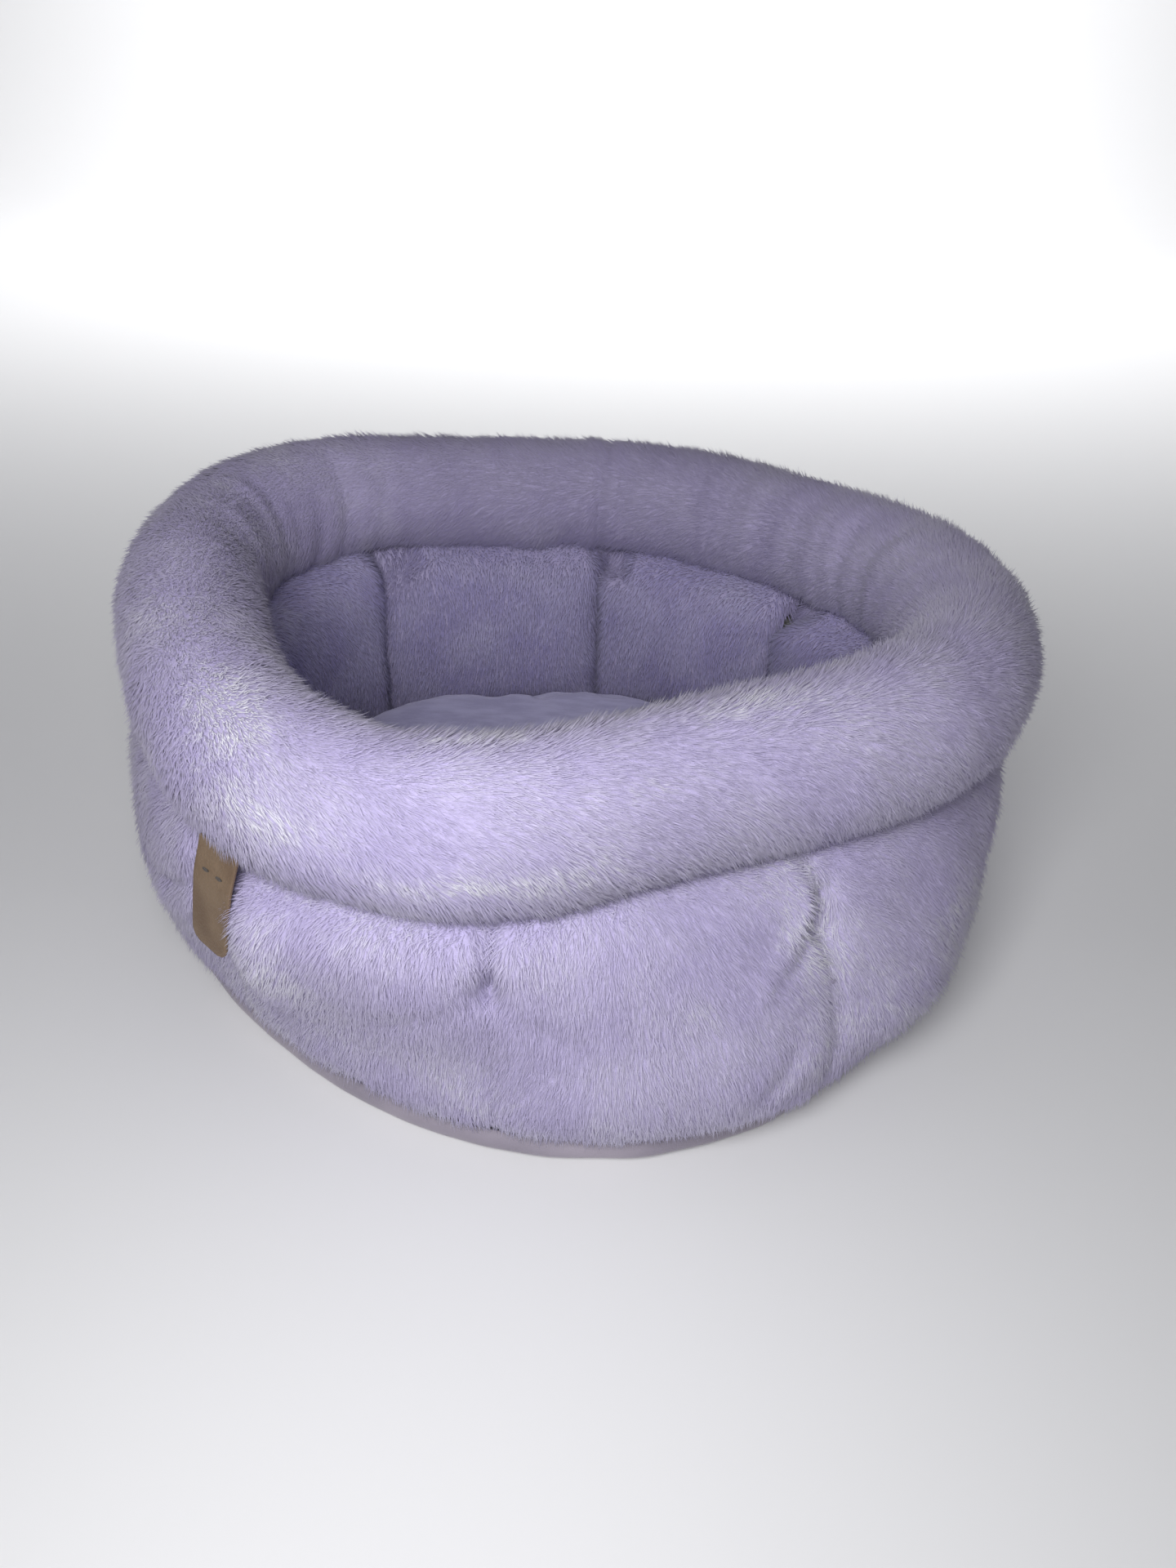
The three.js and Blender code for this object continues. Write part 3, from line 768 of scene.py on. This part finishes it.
def wallRelief(even, height, spot, outside):
    # folds run from each tack, and each section puffs a little unevenly
    degrees = math.degrees(sewnAngle(even)) % 360
    along = (even / (2 * math.pi) * sections) % 1
    toSeam = min(along, 1 - along) * math.pi / 4 * 0.23
    out = 0.0026 * soft(spot, 13, 11 if outside else 15) * ease(height, 0.13, 0.09) + 0.0012 * soft(spot, 34, 12)
    if outside:
        reach = math.hypot(toSeam, height - wall["tackHeight"])
        out -= 0.006 * math.exp(-(reach / 0.009) ** 2)
        above = ease(height, wall["tackHeight"] - 0.012, wall["tackHeight"])
        out -= (0.0015 + 0.0045 * above) * math.exp(-(toSeam / 0.0055) ** 2)
        for fold in wall["folds"]:
            gap, side, share = toFold(degrees, height, fold["line"])
            if gap < fold["wide"] * 4:
                fade = math.sin(math.pi * clamp(share, 0.06, 0.94)) ** 0.6
                out -= fade * fold["deep"] * math.exp(-(gap / fold["wide"] * 1.8) ** 2)
                if side * fold["proud"] > 0:
                    out += fade * abs(fold["proud"]) * math.exp(-((gap / fold["wide"] - 1.1) / 0.8) ** 2)
        for centre, tall, wide, high, much in wall["puffs"]:
            out += much * math.exp(-(turnGap(degrees, centre) / wide) ** 2 - ((height - tall) / high) ** 2)
        out -= 0.003 * ease(height, 0.120, 0.140)
    else:
        out -= 0.0065 * math.exp(-(toSeam / 0.0034) ** 2)
        out -= 0.003 * math.exp(-(toSeam / 0.009) ** 2)
        out -= 0.016 * notch(degrees, along, height)
        out += 0.0045 * (1 - (abs(along - 0.5) * 2) ** 4) * ease(height, 0.02, 0.05)
    return out


def wallSkin(index, outside):
    seam = -wall["tuck"] if outside else 180 + wall["tuck"]
    foot = (bed["baseRadius"], wall["hem"]) if outside else (bed["footRadius"], 0.0016)
    full = bed["wallRadius"] if outside else bed["innerRadius"]
    lean = 1 if outside else -1
    profile = throughPoints([
        foot, (mix(foot[0], full, 0.66), 0.037), (full, bed["wallFull"]), (full - 0.001 * lean, 0.112),
        (full - 0.0075 * lean, 0.132), rimPoint(seam, -0.003)], wall["up"])
    work = spun(profile, 2 * math.pi / sections, wall["across"])
    bmesh.ops.rotate(work, verts=work.verts[:], cent=(0, 0, 0),
                     matrix=Matrix.Rotation(index * 2 * math.pi / sections, 3, "Z"))
    for vert in work.verts:
        even, radius, height = plainSpot(vert.co)
        relief = wallRelief(even, height, sew(even, radius, height), outside)
        stand = min(relief, relief * (1 - ease(height, 0.128, 0.1385))) - wall["sink"]
        vert.co = sew(even, radius + stand * lean, height, wall["neck"] if outside else bed["neck"])
    bmesh.ops.recalc_face_normals(work, faces=work.faces[:])
    work.normal_update()
    flat = Vector((1, 1, 0))
    facing = sum(face.calc_area() * face.normal.dot(face.calc_center_median() * flat) for face in work.faces)
    if (facing > 0) != outside:
        bmesh.ops.reverse_faces(work, faces=work.faces[:])
    return meshFrom(work, "wallSkin")


def wallNap(outside):
    def nap(vert):
        dx, dy = vert.co.x - bed["middle"][0], vert.co.y - bed["middle"][1]
        angle = math.atan2(dy, dx)
        around = Vector((-math.sin(angle), math.cos(angle), 0))
        side = 0.9 * soft(vert.co, 10, 21 if outside else 23)
        down = Vector((0, 0, -1))
        return (down + around * side * (ease(vert.co.z, 0.012, 0.05) if outside else 1)).normalized() * 0.95
    return nap


def wallSheen(vert):
    # painted sheen on the outer wall: a little over 0 with noise, and lighter spots
    found = 0.12 + 0.4 * soft(vert.co, 15, 19)
    degrees = polar(vert.co)
    for centre, tall, wide, high, much in wall["paintedLight"]:
        found += much * math.exp(-(turnGap(degrees, centre) / wide) ** 2 - ((vert.co.z - tall) / high) ** 2)
    return found


def innerSheenAndShade(vert):
    degrees = polar(vert.co)
    along = (evenAngle(degrees) / (2 * math.pi) * sections) % 1
    toSeam = min(along, 1 - along) * math.pi / 4 * 0.18
    # noise, and painted shade along each seam and in each pillow's hollow top corner
    return (0.1 + 0.4 * soft(vert.co, 18, 27) - 0.8 * math.exp(-(toSeam / 0.004) ** 2)
            - 1.1 * notch(degrees, along, vert.co.z + 0.002))


for outside, name, finish, look, low in (
        (True, "outer_panel", plush, wall["outerPile"], 0.0),
        (False, "inner_panel", innerPlush, wall["innerPile"], 0.020)):
    for index in range(sections):
        skin = wallSkin(index, outside)
        piled = skin.copy()
        cloth = makePiece(f"{name}_{index + 1}_cloth", skin, "bed", backing, "plush")
        thick = cloth.modifiers.new("cloth", "SOLIDIFY")
        thick.thickness, thick.offset = wall["cloth"], -1
        settle(cloth)
        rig.replaces(cloth, f"{name}_{index + 1}")
        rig.padded(cloth, fill=0.7)
        setNap(piled, wallNap(outside), lambda vert: ease(vert.co.z, low, low + 0.002),
               wallSheen if outside else innerSheenAndShade)
        growPile(f"{name}_{index + 1}_pile", piled, look | {"seed": look["seed"] + index}, "bed", finish, "plush")
print("wall made")


base = {"corner": 0.009, "thick": 0.0012, "around": 288}


def baseFinish():
    finish = Finish("smoothBaseCloth", Roughness=0.7, Sheen_Weight=0.2, Sheen_Roughness=0.4)
    weave = finish.noise(1600, 1.0)
    rub = finish.noise(18, 3.0)
    finish.feed("Base Color", finish.blend(finish.steps(rub, 0.35, 0.7), (0.27, 0.24, 0.30), (0.36, 0.32, 0.385)))
    finish.feed("Roughness", 0.6 + 0.2 * rub)
    finish.relief(weave, 0.0002)
    return finish.material


baseCloth = baseFinish()
profile = [(0, 0), (0.1, 0), (0.19, 0)]
for i in range(9):
    turn = math.radians(-90 + i * 90 / 8)
    profile.append((bed["baseRadius"] - base["corner"] * (1 - math.cos(turn)), base["corner"] * (1 + math.sin(turn))))
profile.append((bed["baseRadius"], bed["hem"] + 0.004))
work = spun(profile, 2 * math.pi, base["around"])
for vert in work.verts:
    even, radius, height = plainSpot(vert.co)
    vert.co = sew(even, radius + 0.0008 * soft((even * 9, height * 30, 1), 1.0, 31) * ease(radius, 0.15, 0.2), height)
outward(work)
basePanel = makePiece("base_cloth", meshFrom(work, "baseCloth"), "bed", baseCloth, "base_cloth")
thick = basePanel.modifiers.new("cloth", "SOLIDIFY")
thick.thickness, thick.offset = base["thick"], -1
settle(basePanel)
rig.replaces(basePanel, "base_panel")
frame["nodes"]["floor_lining"].data.materials.clear()
frame["nodes"]["floor_lining"].data.materials.append(baseCloth)
print("base made")


def waddingFinish():
    finish = Finish("fibreFilling", Roughness=1.0, Sheen_Weight=0.3)
    tufts = finish.noise(90, 4.0)
    finish.feed("Base Color", finish.blend(tufts, (0.78, 0.76, 0.74), (0.93, 0.92, 0.90)))
    finish.relief(tufts, 0.002)
    return finish.material


wadding = waddingFinish()
filling = {"voxel": 0.006, "middle": 0.193, "thin": 0.6, "low": 0.80, "narrow": 0.93, "lumps": 0.003}


def stuffed(name, co):
    # a filling as it settles inside its cover: smaller than the space it is given, and lumpy
    spot = co - Vector((*bed["middle"], 0))
    angle, radius = math.atan2(spot.y, spot.x), math.hypot(spot.x, spot.y)
    if name == "cushion_filling":
        return Vector((co.x * 0.95, co.y * 0.95, mix(0.034, co.z, 0.8)))
    if name == "rim_filling":
        centre = bed["rimRadius"] * pulled(bed["rimPull"], angle)
        middle = bed["rimHeight"] * pulled(bed["rimSway"], angle)
        radius, height = mix(centre, radius, 0.8), mix(middle, co.z, 0.8)
    else:
        index = int(name[-1]) - 1
        start, end = (bed["seams"] + [bed["seams"][0] + 360])[index:index + 2]
        centre = math.radians(mix(start, end, 0.5))
        angle = centre + math.radians(turnGap(math.degrees(angle), math.degrees(centre))) * filling["narrow"]
        centre = (filling["middle"] + 0.5 * bed["rimRadius"] * (pulled(bed["rimPull"], angle) - 1)
                  + 0.5 * bed["wallRadius"] * (pulled(bed["wallPull"], angle) - 1))
        radius, height = mix(centre, radius, filling["thin"]), mix(0.014, co.z, filling["low"])
    radius += filling["lumps"] * soft(co, 38, 3)
    return onPlan(angle, radius, height)


for name in ["rim_filling", "cushion_filling"] + [f"wall_filling_{i + 1}" for i in range(sections)]:
    work = bmesh.new()
    work.from_mesh(frame["nodes"][name].data)
    bmesh.ops.remove_doubles(work, verts=work.verts[:], dist=1e-5)
    body = "cushion" if name.startswith("cushion") else "bed"
    stuffing = makePiece(f"{name}_stuffing", meshFrom(work, name), body, wadding, "fibre_filling")
    even = stuffing.modifiers.new("even mesh", "REMESH")
    even.mode, even.voxel_size = "VOXEL", filling["voxel"]
    settle(stuffing)
    for vert in stuffing.data.vertices:
        vert.co = stuffed(name, vert.co)
    stuffing.data.shade_smooth()
    stuffing.data.materials.clear()
    stuffing.data.materials.append(wadding)
    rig.replaces(stuffing, name)
    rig.padded(stuffing, fill=0.8)
frame["nodes"]["base_pad"].data.materials.clear()
frame["nodes"]["base_pad"].data.materials.append(wadding)
print("fillings made")


def threadFinish(name, dark, light):
    finish = Finish(name, Roughness=0.8, Sheen_Weight=0.2)
    twist = finish.add("ShaderNodeTexWave", {"wave_type": "BANDS"}, {
        "Vector": finish.spot, "Scale": 900.0}, "Fac")
    finish.feed("Base Color", finish.blend(twist, dark, light))
    finish.relief(twist, 0.0002)
    return finish.material


sewingThread = threadFinish("sewingThread", (0.30, 0.26, 0.40), (0.42, 0.38, 0.54))
labelThread = threadFinish("labelThread", (0.02, 0.014, 0.01), (0.06, 0.04, 0.03))
tack = {"drawn": 0.6}
for index in range(sections):
    # drawn smaller than its solid about its own middle, so that it ends inside the wall and stays hidden
    work = bmesh.new()
    work.from_mesh(frame["nodes"][f"seam_tack_{index + 1}"].data)
    middle = sum((vert.co for vert in work.verts), Vector()) / len(work.verts)
    smaller = Matrix.Translation(middle) @ Matrix.Scale(tack["drawn"], 4) @ Matrix.Translation(-middle)
    bmesh.ops.transform(work, matrix=smaller, verts=work.verts[:])
    thread = makePiece(f"seam_tack_{index + 1}_thread", meshFrom(work, "tack"), "bed", sewingThread, "sewing_thread")
    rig.replaces(thread, f"seam_tack_{index + 1}")


cushion = {
    "bottom": 0.0136, "seam": 0.0246, "crown": 0.060, "around": 192, "room": 0.004, "voxel": 0.005, "pressure": 4.0,
    "frames": 20, "cap": 0.006,
}


def velourFinish():
    finish = Finish("velour", Roughness=0.62, Sheen_Weight=0.6, Sheen_Roughness=0.35, Sheen_Tint=(0.85, 0.82, 1, 1))
    brush = finish.noise(34, 3.0, finish.stretch((1, 2.6, 1), (0, 0, 0.5)), Roughness=0.6)
    fine = finish.noise(700, 2.0, finish.stretch((1, 3, 1), (0, 0, 0.5)))
    # the brushed pile shows as lighter and darker streaks, with fine lighter streaks: painted sheen
    colour = finish.blend(finish.steps(brush, 0.36, 0.66), (0.43, 0.41, 0.65), (0.60, 0.58, 0.84))
    finish.feed("Base Color", finish.blend(fine * 0.3, colour, (0.66, 0.64, 0.82)))
    finish.feed("Roughness", 0.5 + 0.25 * brush)
    finish.relief(fine + 0.4 * brush, 0.0004)
    return finish.material


velour = velourFinish()


def mouthAt(even):
    spot = sew(even, bed["rimRadius"] - bed["rimWidth"], bed["rimHeight"]) - Vector((*bed["middle"], 0))
    return math.hypot(spot.x, spot.y)


def cushionMesh(shrink):
    full = bed["rimRadius"] - bed["rimWidth"] - cushion["room"]
    profile = [(0, cushion["bottom"] + shrink), (full * 0.5, cushion["bottom"] + shrink),
               (full - 0.012, cushion["bottom"] + shrink),
               (full - 0.003 - shrink, cushion["bottom"] + 0.006), (full - shrink, cushion["seam"]),
               (full - 0.0025 - shrink, cushion["seam"] + 0.012), (full * 0.92, cushion["crown"] - 0.0085 - shrink),
               (full * 0.78, cushion["crown"] - 0.0030 - shrink), (full * 0.5, cushion["crown"] - 0.0018 - shrink),
               (full * 0.25, cushion["crown"] - 0.0004 - shrink), (0, cushion["crown"] - shrink)]
    work = spun(throughPoints(profile, 3), 2 * math.pi, cushion["around"])
    for vert in work.verts:
        even, radius, height = plainSpot(vert.co)
        angle = sewnAngle(even)
        now = radius / full * (mouthAt(even) - cushion["room"])
        vert.co = onPlan(angle, now, height)
    outward(work)
    return meshFrom(work, "cushion")


cushionPiece = makePiece("cushion_cover", cushionMesh(0.0025), "cushion", velour, "velour")
remesh = cushionPiece.modifiers.new("even mesh", "REMESH")
remesh.mode, remesh.voxel_size = "VOXEL", cushion["voxel"]
settle(cushionPiece)
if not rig.quick():
    before = [vert.co.copy() for vert in cushionPiece.data.vertices]
    cloth = cushionPiece.modifiers.new("cloth", "CLOTH")
    cloth.settings.use_pressure = True
    cloth.settings.uniform_pressure_force = cushion["pressure"]
    cloth.settings.effector_weights.gravity = 0
    cloth.settings.quality = 5
    cloth.point_cache.frame_start, cloth.point_cache.frame_end = 1, cushion["frames"]
    for step in range(1, cushion["frames"] + 1):
        scene.frame_set(step)
    settle(cushionPiece)
    for vert, start in zip(cushionPiece.data.vertices, before):
        move = vert.co - start
        if move.length > cushion["cap"]:
            vert.co = start + move.normalized() * cushion["cap"]
    scene.frame_set(1)
smoothed = cushionPiece.modifiers.new("rounder", "SUBSURF")
smoothed.levels = smoothed.render_levels = 1
settle(cushionPiece)
cushionPiece.data.shade_smooth()
cushionPiece.data.materials.clear()
cushionPiece.data.materials.append(velour)
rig.replaces(cushionPiece, "cushion_top_cover", "cushion_bottom_cover")
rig.padded(cushionPiece, fill=0.6)
print("cushion made")


label = {
    "width": 0.025, "length": 0.052, "thick": 0.0014, "corner": 0.006, "rise": 0.008, "shift": -0.014, "lean": 0.14,
    "turn": -0.1, "curl": 0.0005, "out": 0.006, "tuck": 0.002,
    "stitchGap": 0.0045, "stitch": 0.0022, "stitchDrop": 0.013,
}


def tanFinish():
    finish = Finish("tanLabel", Roughness=0.6)
    grain = finish.add("ShaderNodeTexVoronoi", {}, {"Vector": finish.spot, "Scale": 900.0}, "Distance")
    stain = finish.noise(60, 3.0)
    finish.feed("Base Color", finish.blend(finish.steps(stain, 0.3, 0.7), (0.155, 0.10, 0.062), (0.21, 0.145, 0.092)))
    finish.feed("Roughness", 0.5 + 0.25 * grain)
    finish.relief(grain, 0.0002)
    return finish.material


tan = tanFinish()
seamSpot, alongSeam = Vector((-0.14221, -0.18193, 0.14415)), Vector((-0.80125, 0.59832, 0))
outFrom = Vector((-0.59832, -0.80125, 0))


def onLabel(across, down, stand):
    # the strip leans to the left as it hangs, and the wall's bulge comes over its right edge
    turn = label["turn"] * (0.35 + 0.65 * down / label["length"])
    way = alongSeam * math.cos(turn) + outFrom * math.sin(turn)
    curl = label["curl"] * math.sin(math.pi * down / label["length"])
    face = outFrom * math.cos(turn) - alongSeam * math.sin(turn)
    return (seamSpot + Vector((0, 0, label["rise"] - down)) + alongSeam * (label["shift"] + label["lean"] * down)
            + way * across + face * (stand + curl) + outFrom * label["out"] * down / label["length"]
            - outFrom * label["tuck"] * ease(down, 0.020, 0))


work = bmesh.new()
bmesh.ops.create_grid(work, x_segments=14, y_segments=34, size=0.5)
for vert in work.verts:
    down = (0.5 - vert.co.y) * label["length"]
    left = label["corner"] - (label["length"] - down)
    narrow = label["corner"] - math.sqrt(max(0, label["corner"] ** 2 - left ** 2)) if left > 0 else 0
    vert.co = onLabel(vert.co.x * 2 * (label["width"] / 2 - narrow), down, 0)
labelPiece = makePiece("label_strip", meshFrom(work, "label"), "label", tan, "label")
thick = labelPiece.modifiers.new("thickness", "SOLIDIFY")
thick.thickness, thick.offset = label["thick"], 0
edge = labelPiece.modifiers.new("edge", "BEVEL")
edge.width, edge.segments = 0.0003, 2
settle(labelPiece)
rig.replaces(labelPiece, "label_tag")
for side, name in ((-1, "label_stitch_left"), (1, "label_stitch_right")):
    work = bmesh.new()
    bmesh.ops.create_uvsphere(work, u_segments=12, v_segments=8, radius=1)
    for vert in work.verts:
        vert.co = onLabel(side * label["stitchGap"] + vert.co.x * label["stitch"],
                          label["stitchDrop"] + vert.co.y * 0.0006, label["thick"] / 2 + 0.0002 + vert.co.z * 0.0006)
    outward(work)
    stitch = makePiece(f"{name}_thread", meshFrom(work, name), "label", labelThread, "label_thread")
    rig.replaces(stitch, name)
print("label made")


backdrop = {"wide": 7.0, "front": -4.0, "back": 2.6, "bend": 1.6, "high": 6.0}
floorWork = bmesh.new()
bend = [(backdrop["back"] + backdrop["bend"] * math.sin(turn), backdrop["bend"] * (1 - math.cos(turn)))
        for turn in (math.radians(step * 7.5) for step in range(13))]
line = [(backdrop["front"], 0)] + bend + [(backdrop["back"] + backdrop["bend"], backdrop["high"])]
dots = [floorWork.verts.new((-backdrop["wide"], y, z)) for y, z in line]
edges = [floorWork.edges.new(pair) for pair in zip(dots, dots[1:])]
swept = bmesh.ops.extrude_edge_only(floorWork, edges=edges)["geom"]
moved = [part for part in swept if isinstance(part, bmesh.types.BMVert)]
bmesh.ops.translate(floorWork, verts=moved, vec=(2 * backdrop["wide"], 0, 0))
floor = bpy.data.objects.new("floor", meshFrom(floorWork, "floor"))
scene.collection.objects.link(floor)
floorFinish = Finish("paleFloor", Roughness=0.9)
floorFinish.shader.inputs["Base Color"].default_value = (0.86, 0.86, 0.87, 1)
floor.data.materials.append(floorFinish.material)
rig.stage(floor)

world = bpy.data.worlds.new("studio")
scene.world = world
world.use_nodes = True
world.node_tree.nodes["Background"].inputs["Color"].default_value = (0.95, 0.96, 1, 1)
world.node_tree.nodes["Background"].inputs["Strength"].default_value = 0.20

for name, spot, aim, size, power in (
        ("key", (-0.06, -0.57, 0.47), (0, -0.05, 0.12), 0.22, 2.85),
        ("backdrop", (0, 1.7, 2.4), (0, 4.2, 0.6), 2.0, 110)):
    lamp = bpy.data.lights.new(name, "AREA")
    lamp.shape, lamp.size, lamp.energy = "SQUARE", size, power
    light = bpy.data.objects.new(name, lamp)
    light.location = spot
    light.rotation_euler = (Vector(aim) - Vector(spot)).to_track_quat("-Z", "Y").to_euler()
    scene.collection.objects.link(light)

view = bpy.data.cameras.new("camera")
view.lens, view.sensor_width = 26.25, 36
camera = bpy.data.objects.new("camera", view)
tilt = Euler((math.radians(90 - 33.34), 0, 0)).to_matrix().to_4x4()
camera.matrix_world = (Matrix.Translation((0.01382, -0.54708, 0.42401)) @ tilt
                       @ Matrix.Rotation(math.radians(2.45), 4, "Z"))
scene.collection.objects.link(camera)
scene.camera = camera
scene.view_settings.view_transform = "Standard"

bpy.context.view_layer.update()
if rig.alive(fibre):
    bpy.data.objects.remove(fibre)
json.dump({"cad": [list(corner) for corner in cadBox], "visual": [list(corner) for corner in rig.bounds()]},
          open("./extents.json", "w"))
print("scene ready")
